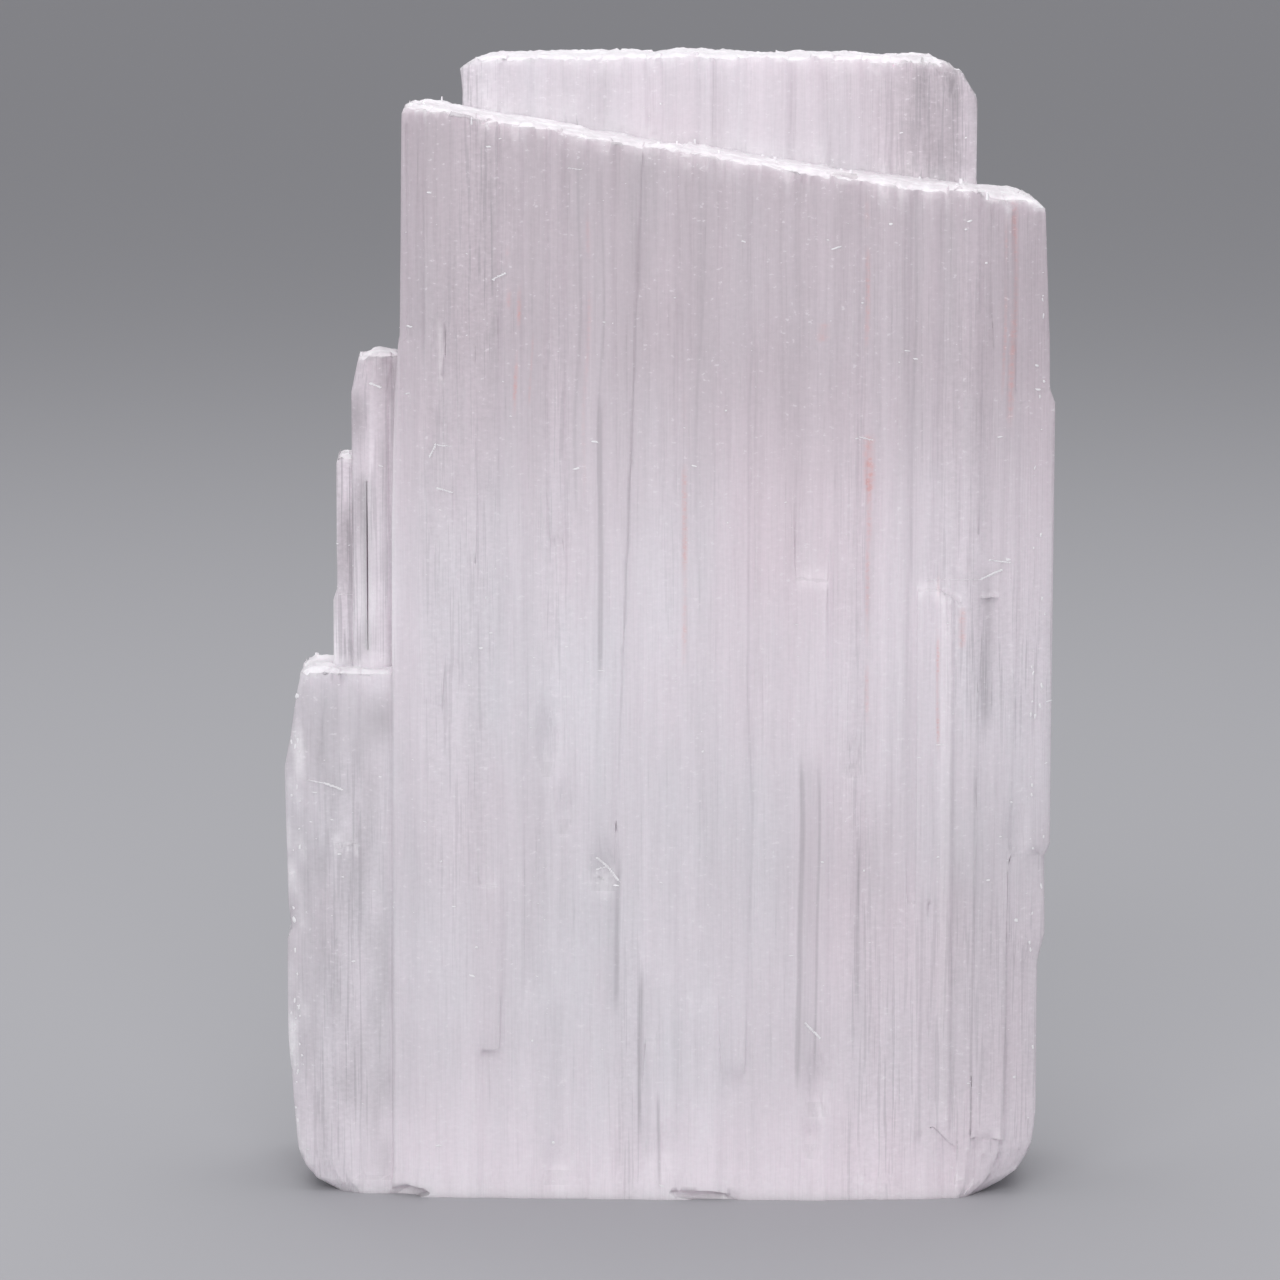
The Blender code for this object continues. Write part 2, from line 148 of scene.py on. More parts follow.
class Graph:
    """The node graph of one material."""

    def __init__(self, name: str) -> None:
        """Makes an empty material, with places in millimetres to hand.

        Args:
            name: the material's name.
        """
        self.material = bpy.data.materials.new(name)
        self.material.use_nodes = True
        self.tree = self.material.node_tree
        self.tree.nodes.clear()
        place = self.node("ShaderNodeTexCoord").outputs["Object"]
        scaled = self.node("ShaderNodeVectorMath", {"operation": "SCALE"}, {0: place, "Scale": 1 / MM})
        self.place = scaled.outputs[0]
        parts = self.node("ShaderNodeSeparateXYZ", {}, {0: self.place})
        self.x, self.y, self.z = (Wire(self, socket) for socket in parts.outputs)
        facing = self.node("ShaderNodeNewGeometry").outputs["True Normal"]
        parts = self.node("ShaderNodeSeparateXYZ", {}, {0: facing})
        self.facing_z = Wire(self, parts.outputs["Z"])

    def node(self, kind: str, settings: dict[str, Any] | None = None,
             inputs: dict[int | str, Any] | None = None) -> bpy.types.Node:
        """Adds a node.

        Args:
            kind: the node's type.
            settings: its properties, set first.
            inputs: values, sockets or wires for its inputs, by name or number.

        Returns:
            The node.
        """
        made = self.tree.nodes.new(kind)
        for name, value in (settings or {}).items():
            setattr(made, name, value)
        for name, value in (inputs or {}).items():
            if isinstance(value, Wire):
                value = value.socket
            if isinstance(value, Socket):
                self.tree.links.new(value, made.inputs[name])
            else:
                made.inputs[name].default_value = value
        return made

    def math(self, operation: str, *values: "Wire | Number", clamp: bool = False) -> Wire:
        """A Math node on numbers.

        Args:
            operation: what it does.
            values: what it does it to.
            clamp: whether the outcome is kept between zero and one.

        Returns:
            The outcome.
        """
        made = self.node("ShaderNodeMath", {"operation": operation, "use_clamp": clamp},
                         dict(enumerate(values)))
        return Wire(self, made.outputs[0])

    def ramp(self, value: Wire, low: Number, high: Number) -> Wire:
        """A smooth step from zero at low to one at high.

        Args:
            value: the number that is stepped.
            low: where the step is zero.
            high: where the step is one.

        Returns:
            The step.
        """
        settings = {"interpolation_type": "SMOOTHSTEP"}
        if low < high:
            ends = {"From Min": low, "From Max": high, "To Min": 0.0, "To Max": 1.0}
        else:
            ends = {"From Min": high, "From Max": low, "To Min": 1.0, "To Max": 0.0}
        made = self.node("ShaderNodeMapRange", settings, {"Value": value, **ends})
        return Wire(self, made.outputs["Result"])

    def grain(self, grain: Grain) -> Wire:
        """Noise drawn out along the fibres.

        Args:
            grain: the noise's make-up.

        Returns:
            The noise, from zero to one, mostly near a half.
        """
        stretched = self.node("ShaderNodeMapping", {}, {
            "Vector": self.place, "Scale": (1 / grain.across, 1 / grain.across, 1 / grain.along),
            "Location": (grain.shift, -grain.shift, grain.shift / 2),
        })
        made = self.node("ShaderNodeTexNoise", {}, {
            "Vector": stretched.outputs[0], "Scale": 1.0, "Detail": grain.detail,
            "Roughness": grain.roughness,
        })
        return Wire(self, made.outputs["Fac"])

    def attribute(self, name: str) -> Wire:
        """A number that the piece carries at its points."""
        return Wire(self, self.node("ShaderNodeAttribute", {"attribute_name": name}).outputs["Fac"])

    def colour(self, first: Any, second: Any, share: Wire) -> Socket:
        """Two colours mixed.

        Args:
            first: the colour where share is zero, as a socket or three numbers.
            second: the colour where share is one.
            share: how much of the second is taken.

        Returns:
            The socket of the mixed colour.
        """
        made = self.node("ShaderNodeMix", {"data_type": "RGBA", "clamp_factor": True})
        places = {"Factor_Float": share.socket, "A_Color": first, "B_Color": second}
        for socket in made.inputs:
            value = places.get(socket.identifier)
            if isinstance(value, Socket):
                self.tree.links.new(value, socket)
            elif value is not None:
                socket.default_value = (*value, 1.0)
        return next(socket for socket in made.outputs if socket.identifier == "Result_Color")

    def brighter(self, colour: Socket, by: Wire) -> Socket:
        """A colour times a number.

        Args:
            colour: the socket of the colour.
            by: what each of its parts is multiplied by.

        Returns:
            The socket of the outcome.
        """
        made = self.node("ShaderNodeVectorMath", {"operation": "SCALE"}, {0: colour, "Scale": by})
        return made.outputs[0]

    def finish(self, shader: Socket) -> bpy.types.Material:
        """Sends a shader to the surface.

        Args:
            shader: the shader's socket.

        Returns:
            The finished material.
        """
        out = self.node("ShaderNodeOutputMaterial")
        self.tree.links.new(shader, out.inputs["Surface"])
        return self.material


@dataclass(frozen=True)
class Line:
    """An upright line in the stone's great face: its X, foot, head and width, and how strong it is."""

    x: float
    foot: float
    head: float
    width: float
    strength: float


CLEAR_LINES = (
    Line(-4.6, 37.4, 55.6, 0.55, 1.0),
    Line(-4.7, 50.0, 72.0, 0.35, 0.45),
    Line(-6.3, 49.0, 71.5, 0.40, 0.50),
    Line(9.1, 8.5, 30.8, 0.60, 1.0),
    Line(10.3, 9.5, 30.0, 0.35, 0.7),
    Line(13.1, 14.6, 25.2, 0.50, 0.7),
    Line(-3.6, 13.9, 23.8, 0.60, 0.8),
    Line(-1.9, 4.9, 15.6, 0.45, 0.85),
    Line(-0.6, 1.0, 7.2, 0.40, 0.8),
    Line(22.2, 33.5, 43.0, 1.20, 0.6),
    Line(21.2, 5.0, 30.0, 0.30, 0.5),
    Line(-12.2, 58.0, 74.0, 0.60, 0.35),
    Line(2.0, 45.0, 73.0, 0.45, 0.3),
    Line(5.6, 20.0, 60.0, 0.35, 0.3),
    Line(16.8, 44.0, 71.0, 0.40, 0.4),
    Line(17.6, 4.0, 22.0, 0.45, 0.5),
    Line(9.8, 9.0, 31.0, 3.0, 0.40),
    Line(13.3, 12.0, 26.0, 2.2, 0.30),
    Line(-1.6, 3.0, 16.0, 2.6, 0.36),
    Line(-3.9, 13.5, 24.5, 1.8, 0.34),
    Line(-4.6, 38.0, 56.0, 1.6, 0.30),
    Line(21.8, 34.0, 44.0, 2.6, 0.30),
    Line(-7.6, 5.0, 14.0, 1.6, 0.24),
    Line(19.6, 6.0, 24.0, 3.2, 0.26),
)

RUST_LINES = (
    Line(-11.2, 62.6, 66.4, 0.55, 0.9),
    Line(-10.5, 55.4, 63.4, 0.45, 1.0),
    Line(-9.5, 56.0, 60.4, 0.30, 0.5),
    Line(-5.7, 49.9, 69.5, 0.50, 0.3),
    Line(1.2, 38.5, 55.6, 0.60, 0.7),
    Line(10.4, 60.2, 61.4, 1.20, 0.6),
    Line(13.4, 60.0, 69.4, 0.55, 0.6),
    Line(13.9, 50.0, 53.6, 1.20, 0.9),
    Line(13.9, 46.5, 51.6, 0.70, 0.6),
    Line(13.8, 34.5, 46.0, 0.50, 0.6),
    Line(18.7, 32.0, 43.9, 0.40, 0.8),
    Line(20.4, 39.0, 41.6, 0.80, 0.6),
    Line(23.6, 55.0, 69.8, 0.80, 0.7),
    Line(23.0, 57.0, 68.0, 0.40, 0.6),
    Line(26.2, 64.0, 67.0, 0.60, 0.6),
)


@dataclass(frozen=True)
class Nick:
    """A white fleck on the great face: where its middle is, its width and its height."""

    x: float
    z: float
    width: float
    height: float


NICKS = (
    Nick(-24.6, 28.5, 0.6, 0.14),
    Nick(-26.0, 31.6, 0.4, 0.7),
    Nick(-25.8, 35.2, 0.4, 0.5),
    Nick(-26.2, 19.4, 0.4, 0.7),
    Nick(-24.9, 26.4, 0.5, 0.12),
    Nick(-22.9, 24.2, 0.5, 0.2),
    Nick(-22.7, 22.6, 0.5, 0.16),
    Nick(-6.3, 51.4, 0.8, 0.2),
    Nick(11.5, 66.6, 1.0, 0.2),
    Nick(23.5, 45.0, 0.6, 0.3),
    Nick(-17.7, 61.1, 0.8, 0.2),
    Nick(-17.9, 56.5, 0.7, 0.2),
    Nick(-4.7, 37.4, 0.9, 0.16),
    Nick(18.8, 32.2, 0.9, 0.16),
    Nick(24.3, 19.6, 0.5, 0.45),
    Nick(24.3, 8.4, 0.4, 0.35),
    Nick(8.6, 17.4, 0.7, 0.14),
    Nick(-8.0, 4.0, 0.35, 0.3),
    Nick(20.6, 68.4, 0.6, 0.25),
    Nick(15.2, 68.2, 0.5, 0.3),
    Nick(2.4, 31.8, 0.3, 0.3),
)


@dataclass(frozen=True)
class Scratch:
    """A thin white crack in the great face, from one end to the other, and how thick it looks."""

    x_from: float
    z_from: float
    x_to: float
    z_to: float
    thickness: float
    gap: float = 0.14
    overlap: float = 2.2

    def nicks(self) -> list[Nick]:
        """Works out the overlapping flecks that make up the scratch.

        Returns:
            The flecks.
        """
        across, up = self.x_to - self.x_from, self.z_to - self.z_from
        count = max(2, round(math.hypot(across, up) / self.gap))
        wide = abs(across) / count * self.overlap + self.thickness
        tall = abs(up) / count * self.overlap + self.thickness
        parts = (step / count for step in range(count + 1))
        return [Nick(self.x_from + across * part, self.z_from + up * part, wide, tall) for part in parts]


SCRATCHES = (
    Scratch(-25.0, 29.35, -23.8, 29.15, 0.09),
    Scratch(-23.8, 29.15, -22.7, 28.75, 0.13),
    Scratch(17.8, 43.7, 21.6, 43.7, 0.04),
    Scratch(21.6, 43.7, 23.0, 44.3, 0.10),
    Scratch(22.2, 45.0, 23.6, 44.8, 0.10),
    Scratch(-16.4, 52.2, -16.0, 53.0, 0.06),
    Scratch(-16.0, 53.0, -15.0, 52.9, 0.08),
    Scratch(-15.9, 50.0, -14.9, 49.7, 0.07),
    Scratch(-4.9, 24.2, -4.2, 23.6, 0.09),
    Scratch(-4.2, 23.6, -3.4, 22.6, 0.07),
    Scratch(-4.9, 23.4, -4.2, 23.6, 0.06),
    Scratch(-22.0, 51.4, -22.0, 49.8, 0.08),
    Scratch(-22.9, 42.0, -21.6, 42.0, 0.04),
    Scratch(-20.6, 57.0, -19.9, 56.7, 0.07),
    Scratch(13.2, 53.6, 14.0, 53.4, 0.05),
    Scratch(9.6, 12.6, 10.6, 11.6, 0.07),
    Scratch(-12.0, 64.4, -11.2, 64.8, 0.06),
    Scratch(-6.8, 72.0, -6.0, 71.9, 0.06),
)


@dataclass(frozen=True)
class Dent:
    """A shallow break in the great face: its middle, its half width and half height, and its depth."""

    x: float
    z: float
    width: float
    height: float
    depth: float


DENTS = (
    Dent(-8.4, 32.4, 0.9, 2.4, 0.35),
    Dent(-4.4, 23.6, 1.3, 1.5, 0.40),
    Dent(-7.2, 27.6, 0.8, 1.6, 0.25),
    Dent(10.4, 8.2, 1.2, 2.2, 0.45),
    Dent(10.0, 4.6, 0.8, 1.4, 0.30),
    Dent(-7.8, 2.6, 1.2, 1.2, 0.35),
    Dent(-0.4, 3.6, 1.4, 1.0, 0.25),
    Dent(-15.6, 50.0, 1.2, 6.0, 0.20),
    Dent(12.8, 31.2, 0.8, 1.2, 0.25),
    Dent(24.2, 26.0, 1.0, 2.0, 0.30),
)


class Noise:
    """Smooth random numbers in space, from a seeded table of values at the corners of cells."""

    size = 4096
    offset = 500.0
    primes = (73856093, 19349663, 83492791)

    def __init__(self, seed: int) -> None:
        """Fills the table."""
        self.table = np.random.default_rng(seed).random(self.size)

    def __call__(self, points: np.ndarray, cell: tuple[float, float, float]) -> np.ndarray:
        """Reads the noise.

        Args:
            points: where it is read, one point a row, in millimetres.
            cell: the size of a cell.

        Returns:
            A number from -1 to 1 for each point.
        """
        scaled = points / np.array(cell) + self.offset
        base = np.floor(scaled).astype(np.int64)
        part = scaled - base
        part = part * part * (3 - 2 * part)
        total = np.zeros(len(points))
        for corner in product((0, 1), repeat=3):
            x, y, z = ((base + np.array(corner)) * np.array(self.primes)).T
            key = (x ^ y ^ z) % self.size
            total += self.table[key] * np.prod(np.where(corner, part, 1 - part), axis=1)
        return total * 2 - 1


def rise(values: np.ndarray, low: float, high: float) -> np.ndarray:
    """A smooth step from zero at low to one at high, also where high is less than low.

    Args:
        values: the numbers that are stepped.
        low: where the step is zero.
        high: where the step is one.

    Returns:
        The step for each number.
    """
    part = np.clip((values - low) / (high - low), 0.0, 1.0)
    return part * part * (3 - 2 * part)


def band(values: np.ndarray, centre: float, half: float) -> np.ndarray:
    """A soft hump: one at the centre, and zero a half width away."""
    return rise(np.abs(values - centre), half, 0.0)


class Axis(Enum):
    """One of the three axes."""

    X = 0
    Y = 1
    Z = 2


@dataclass(frozen=True)
class Fade:
    """A soft edge across an axis: zero at its start, and one from its end onwards."""

    axis: Axis
    start: float
    end: float

    def share(self, points: np.ndarray) -> np.ndarray:
        """How far past the edge each point is."""
        return rise(points[:, self.axis.value], self.start, self.end)


@dataclass(frozen=True)
class Hump:
    """A soft stripe across an axis: one in its middle, and zero a half width away."""

    axis: Axis
    middle: float
    half: float

    def share(self, points: np.ndarray) -> np.ndarray:
        """How near to the stripe's middle each point is."""
        return band(points[:, self.axis.value], self.middle, self.half)


@dataclass(frozen=True)
class Cloud:
    """A layer of smooth random numbers: its seed, the size of its cells and its strength."""

    seed: int
    cell: tuple[float, float, float]
    strength: float = 1.0


@dataclass(frozen=True)
class Clouds:
    """Layers of smooth random numbers on top of a level, stepped softly if they have a step."""

    layers: tuple[Cloud, ...]
    level: float = 0.0
    step: Span | None = None

    def share(self, points: np.ndarray) -> np.ndarray:
        """Reads the clouds.

        Args:
            points: where, one a row.

        Returns:
            A number for each point.
        """
        total = np.full(len(points), self.level)
        for layer in self.layers:
            total += layer.strength * Noise(layer.seed)(points, layer.cell)
        return rise(total, *self.step) if self.step else total


@dataclass(frozen=True)
class Area:
    """A part of the block that adds an amount to a mark, within the product of its limits."""

    amount: float
    limits: tuple[Fade | Hump | Clouds, ...] = ()

    def value(self, points: np.ndarray) -> np.ndarray:
        """What it adds at each point."""
        return self.amount * np.prod([limit.share(points) for limit in self.limits], axis=0)


# Parts of the block that the marks lie on
FRONT = Fade(Axis.Y, -2.0, -4.0)
BEHIND = Fade(Axis.Y, -4.0, -2.0)
FACE = Fade(Axis.Y, -4.0, -4.5)
BACK_SLAB = Fade(Axis.Y, -1.2, -0.8)
LEFT_BLADES = Fade(Axis.X, -18.8, -19.4)
ABOVE_LOW_BLOCK = Fade(Axis.Z, 36.8, 37.6)
STAIR = (LEFT_BLADES, ABOVE_LOW_BLOCK)
SMOKE = Clouds((Cloud(15, (0.8, 0.8, 7.0), 0.6), Cloud(16, (0.6, 0.6, 1.2), 0.25)), level=0.6)
MOTTLED = (
    Fade(Axis.X, -18.5, -20.0),
    Clouds((Cloud(4, (0.9, 0.9, 2.6), 0.10), Cloud(14, (2.2, 2.2, 3.4), 0.06))),
)
BRUISES = Clouds((Cloud(6, (0.8, 0.8, 1.2)),), step=(-0.2, 0.7))

# The marks, each the sum of its areas
# Painted light in the tone: lighter low down and in a band near the middle, as a painted inner glow;
# darker over the upper front and the top of the back slab, as painted shade; and lighter on the stair, as
# painted light against its shadows. The clouds and the mottling are the stone's own random tone.
TONE_AND_PAINTED_LIGHT = (
    Area(0.15, (Fade(Axis.Z, 12.0, 0.0),)),
    Area(-0.03, (Hump(Axis.Z, 24.0, 10.0),)),
    Area(0.03, (Hump(Axis.Z, 38.0, 14.0),)),
    Area(-0.20, (Fade(Axis.Z, 45.0, 62.0), FRONT)),
    Area(-0.06, (Fade(Axis.Z, 66.0, 72.0), BEHIND)),
    Area(-0.26, (Fade(Axis.X, 13.0, 19.0), Fade(Axis.Z, 66.0, 70.0), BEHIND, SMOKE)),
    Area(-0.10, (LEFT_BLADES, Hump(Axis.Z, 34.0, 4.0))),
    Area(-0.09, (Fade(Axis.X, -19.0, -19.8), Fade(Axis.Z, 37.0, 33.0), FRONT)),
    Area(0.08, STAIR),
    Area(-0.05, (Fade(Axis.X, 17.0, 21.0), Fade(Axis.Z, 32.0, 22.0), FRONT)),
    Area(1.0, (Clouds((Cloud(1, (1.5, 1.5, 24.0), 0.035), Cloud(2, (0.55, 0.55, 11.0), 0.035))),)),
    Area(1.0, (Clouds((Cloud(3, (6.0, 6.0, 8.0), 0.03), Cloud(9, (3.0, 3.0, 1.6), 0.015))),)),
    Area(1.0, MOTTLED),
    Area(1.2, (*MOTTLED, ABOVE_LOW_BLOCK)),
)

BLUSH = (
    Area(0.2),
    Area(0.65, (Fade(Axis.Z, 34.0, 64.0),)),
    Area(0.25, (Fade(Axis.X, -2.0, 10.0),)),
    Area(0.15, (Fade(Axis.Z, 16.0, 4.0),)),
    Area(-0.45, (Fade(Axis.Z, 60.0, 70.0), Fade(Axis.Y, -1.6, -1.0))),
    Area(1.0, (Clouds((Cloud(10, (6.0, 6.0, 9.0), 0.28), Cloud(11, (1.2, 1.2, 5.0), 0.12))),)),
)

HAZE = (
    Area(0.05, STAIR),
    Area(0.3, (*STAIR, Clouds((Cloud(12, (0.9, 0.9, 7.0), 0.5),), level=0.5))),
    Area(0.3, (*STAIR, Fade(Axis.X, -21.5, -22.2))),
    Area(0.35, (Fade(Axis.X, 13.0, 18.0), Fade(Axis.Z, 68.0, 71.0), BACK_SLAB)),
    Area(0.45, (Hump(Axis.X, -14.6, 2.0), Fade(Axis.Z, 72.0, 75.0), BACK_SLAB)),
    Area(0.3, (Hump(Axis.X, -22.0, 4.0), Fade(Axis.Z, 33.0, 29.0), Fade(Axis.Z, 2.0, 8.0))),
    Area(0.3, (Fade(Axis.X, 19.5, 22.5), Hump(Axis.Z, 38.0, 9.0))),
    Area(0.2, (Fade(Axis.X, 12.0, 18.0), Fade(Axis.Z, 24.0, 18.0), Fade(Axis.Z, 1.0, 5.0))),
    Area(0.2, (Hump(Axis.X, -12.6, 3.4), Fade(Axis.Z, 55.0, 64.0))),
    Area(0.18, (Clouds((Cloud(5, (2.6, 2.6, 46.0)),), step=(0.25, 0.65)),)),
)

LEDGE = (
    Area(1.0, (FACE, Fade(Axis.X, -18.8, -18.4), Fade(Axis.Z, 65.5, 64.5))),
    Area(1.0, (FACE, Fade(Axis.X, -18.4, -18.8), Fade(Axis.X, -25.6, -25.0), Fade(Axis.Z, 35.6, 34.8))),
)

STAIN = (Area(1.0, (Clouds((Cloud(13, (0.9, 0.9, 2.4)),), step=(-0.5, 0.4)),)),)

WAVER = (Area(0.3, (Clouds((Cloud(8, (40.0, 40.0, 9.0)),)),)),)

LOW_EDGE = Area(0.9, (Fade(Axis.X, -24.9, -25.8), Fade(Axis.Z, 38.0, 34.0), BRUISES))


def add_up(areas: Iterable[Area], points: np.ndarray) -> np.ndarray:
    """What areas add up to at each point."""
    return sum(area.value(points) for area in areas)


@dataclass(frozen=True)
class Relief:
    """A layer of relief that only presses inwards: where it works, its grains' size and its depth."""

    name: str
    group: str
    cell: tuple[float, float, float]
    depth: float
    direction: str = "NORMAL"
    detail: int = 2


@dataclass(frozen=True)
class Stone:
    """The finish of the block: milky gypsum with clear fibres in it.

    A step is the two values between which something sets in. The other numbers are the strength of
    what they are named for.
    """

    pink: Colour = (0.757, 0.668, 0.722)
    cool: Colour = (0.752, 0.722, 0.764)
    clear: Colour = (0.43, 0.40, 0.44)
    bruise: Colour = (0.88, 0.85, 0.88)
    rust: Colour = (0.72, 0.32, 0.29)
    crushed: Colour = (0.95, 0.93, 0.96)
    ior: float = 1.52
    glow: float = 0.45
    glow_reach: tuple[float, float, float] = (1.6, 1.4, 1.5)
    crushed_glow: float = 0.2
    crushed_reach: tuple[float, float, float] = (0.3, 0.27, 0.3)
    crushed_roughness: float = 0.35

    fibres: Grain = Grain(across=0.24, along=9.0, detail=2.0, roughness=0.65, shift=3.1)
    crumbs: Grain = Grain(across=0.42, along=0.26, detail=2.5, roughness=0.6, shift=2.0)
    fibre_contrast: float = 0.24
    crumb_contrast: float = 0.14
    hazy_crumbs: float = 0.5

    face: Span = (-5.0, -6.5)
    shift_x: float = 0.06
    line_fade: float = 3.0
    end_step: Span = (0.45, 0.8)
    # The shelf numbers set painted shade on the up-facing ledges of the great face, against the light from
    # above.
    shelf_step: Span = (0.04, 0.3)
    shelf_shade: float = 0.1

    strand_step: Span = (0.54, 0.66)
    strand_haze: float = 0.14
    strands_bare: float = 0.10
    strands_hazy: float = 0.8
    clear_lines: float = 0.4
    clear_tint: float = 0.6
    clear_share: float = 0.4
    clear_roughness: float = 0.2
    clear_transmission: float = 0.85

    dot_step: Span = (0.42, 0.66)
    rust_dots: float = 0.4
    rust_even: float = 0.22
    speck_step: Span = (0.65, 0.71)
    speck_white: float = 0.4
    end_white: float = 0.47
    bruise_white: float = 0.4

    relief_strength: float = 0.35
    relief_depth: float = 0.1
    roughness: float = 0.36
    fibre_roughness: float = 0.4
    pale_roughness: float = 0.2

    def lines(self, graph: Graph, lines: Iterable[Line], waver: Wire) -> Wire:
        """Adds up upright lines on the great face.

        Args:
            graph: the material's graph.
            lines: the lines.
            waver: what each line's X wanders by.

        Returns:
            The strength of the lines, from zero to one.
        """
        x = graph.x + waver - self.shift_x
        total: Wire | float = 0.0
        for line in lines:
            half = min(self.line_fade, (line.head - line.foot) / 4) / 2
            span = graph.z.rising(line.foot - half, line.foot + half) \
                * graph.z.rising(line.head + half, line.head - half)
            total = total + x.near(line.x, line.width) * span * line.strength
        return (total * graph.y.rising(*self.face)).clamped()

    def make(self) -> bpy.types.Material:
        """Makes the material.

        Returns:
            The material.
        """
        graph = Graph("satin_gypsum")
        fine, crumbs = graph.grain(self.fibres), graph.grain(self.crumbs)
        names = ("tone_and_painted_light", "blush", "haze", "white", "waver", "ledge", "stain")
        tone_and_painted_light, blush, haze, white, waver, ledge, stain = (graph.attribute(name) for name in names)
        end = graph.facing_z.rising(*self.end_step) * (1 - ledge)
        # Painted shade: the up-facing ledges of the great face are darkened where the light from above
        # falls on them.
        shelf = graph.facing_z.rising(*self.shelf_step) * ledge

        strands = (fine + haze * self.strand_haze).rising(*self.strand_step)
        clear = strands * (self.strands_bare + haze * self.strands_hazy)
        clear = clear + self.lines(graph, CLEAR_LINES, waver) * self.clear_lines
        clear = clear.clamped() * (1 - end)
        dots = crumbs.rising(*self.dot_step) * self.rust_dots + self.rust_even
        rusty = self.lines(graph, RUST_LINES, waver) * stain * dots
        specks = crumbs.rising(*self.speck_step) * self.speck_white
        pale = (end * self.end_white + white * (self.bruise_white + crumbs) + specks).clamped()
        crumbly = (crumbs - MID) * (self.crumb_contrast + haze * self.hazy_crumbs)
        # The tone brings in its painted glow and shade, and the up-facing ledges get painted shade.
        bright = 1 + tone_and_painted_light - shelf * self.shelf_shade + (fine - MID) * self.fibre_contrast + crumbly

        body = graph.brighter(graph.colour(self.cool, self.pink, blush), bright)
        body = graph.colour(body, self.clear, clear * self.clear_tint)
        body = graph.colour(graph.colour(body, self.rust, rusty), self.bruise, pale)
        roughness = self.roughness + (fine - MID) * self.fibre_roughness + pale * self.pale_roughness
        relief = graph.node("ShaderNodeBump", {}, {
            "Strength": self.relief_strength, "Distance": self.relief_depth * MM,
            "Height": fine * (1 - end) + crumbs * end,
        })
        return graph.finish(self.mix(graph, body, roughness, relief.outputs[0], clear))

    def mix(self, graph: Graph, body: Socket, roughness: Wire, relief: Socket,
            clear: Wire) -> Socket:
        """Mixes the milky stone with its clear fibres, which light passes through.

        Args:
            graph: the material's graph.
            body: the stone's colour.
            roughness: how rough it is.
            relief: its bumps.
            clear: where it is clear.

        Returns:
            The mixed shader's socket.
        """
        milky = graph.node("ShaderNodeBsdfPrincipled", {"subsurface_method": "RANDOM_WALK"}, {
            "Base Color": body, "Roughness": roughness, "IOR": self.ior, "Normal": relief,
            "Subsurface Weight": self.glow, "Subsurface Radius": self.glow_reach, "Subsurface Scale": MM,
        })
        glassy = graph.node("ShaderNodeBsdfPrincipled", {}, {
            "Base Color": body, "Roughness": self.clear_roughness, "IOR": self.ior, "Normal": relief,
            "Transmission Weight": self.clear_transmission,
        })
        both = graph.node("ShaderNodeMixShader", {}, {
            0: clear * self.clear_share, 1: milky.outputs[0], 2: glassy.outputs[0],
        })
        return both.outputs[0]

    def make_bruised(self) -> bpy.types.Material:
        """Makes the material of crushed stone, which is white all through.

        Returns:
            The material.
        """
        graph = Graph("bruised_gypsum")
        shine = graph.node("ShaderNodeBsdfPrincipled", {}, {
            "Base Color": (*self.crushed, 1.0), "Roughness": self.crushed_roughness, "IOR": self.ior,
            "Subsurface Weight": self.crushed_glow, "Subsurface Radius": self.crushed_reach,
            "Subsurface Scale": MM,
        })
        return graph.finish(shine.outputs[0])


def sides_and_ends(piece: bpy.types.Object) -> tuple[np.ndarray, np.ndarray]:
    """Finds the points on the block's upright sides and those on the fibres' ends.

    Args:
        piece: the piece.

    Returns:
        One for each point that an upright face meets, and one for each that a face turned up meets.
    """
    mesh = piece.data
    normals = np.empty(len(mesh.polygons) * 3, np.float32)
    mesh.polygons.foreach_get("normal", normals)
    corners = np.empty(len(mesh.loops), np.int32)
    mesh.loops.foreach_get("vertex_index", corners)
    sizes = np.empty(len(mesh.polygons), np.int32)
    mesh.polygons.foreach_get("loop_total", sizes)
    steepness = np.repeat(normals[2::3], sizes)
    upright = np.zeros(len(mesh.vertices))
    up = np.zeros(len(mesh.vertices))
    np.maximum.at(upright, corners, (np.abs(steepness) < UPRIGHT).astype(float))
    np.maximum.at(up, corners, (steepness > UPRIGHT).astype(float))
    return upright, up


def spread(piece: bpy.types.Object, values: np.ndarray, share: float) -> np.ndarray:
    """Hands a share of each point's number on to its neighbours, where it is more than theirs.

    Args:
        piece: the piece.
        values: a number for each of its points.
        share: how much is handed on.

    Returns:
        The new numbers.
    """
    pairs = np.empty(len(piece.data.edges) * 2, np.int32)
    piece.data.edges.foreach_get("vertices", pairs)
    first, second = pairs.reshape(-1, 2).T
    wider = values.copy()
    np.maximum.at(wider, first, values[second] * share)
    np.maximum.at(wider, second, values[first] * share)
    return wider


def empty_piece(name: str) -> bpy.types.Object:
    """Makes a piece with no faces yet, and alone selects it.

    Args:
        name: the piece's name.

    Returns:
        The piece.
    """
    bpy.ops.object.select_all(action="DESELECT")
    piece = bpy.data.objects.new(name, bpy.data.meshes.new(name))
    bpy.context.scene.collection.objects.link(piece)
    piece.select_set(True)
    bpy.context.view_layer.objects.active = piece
    return piece


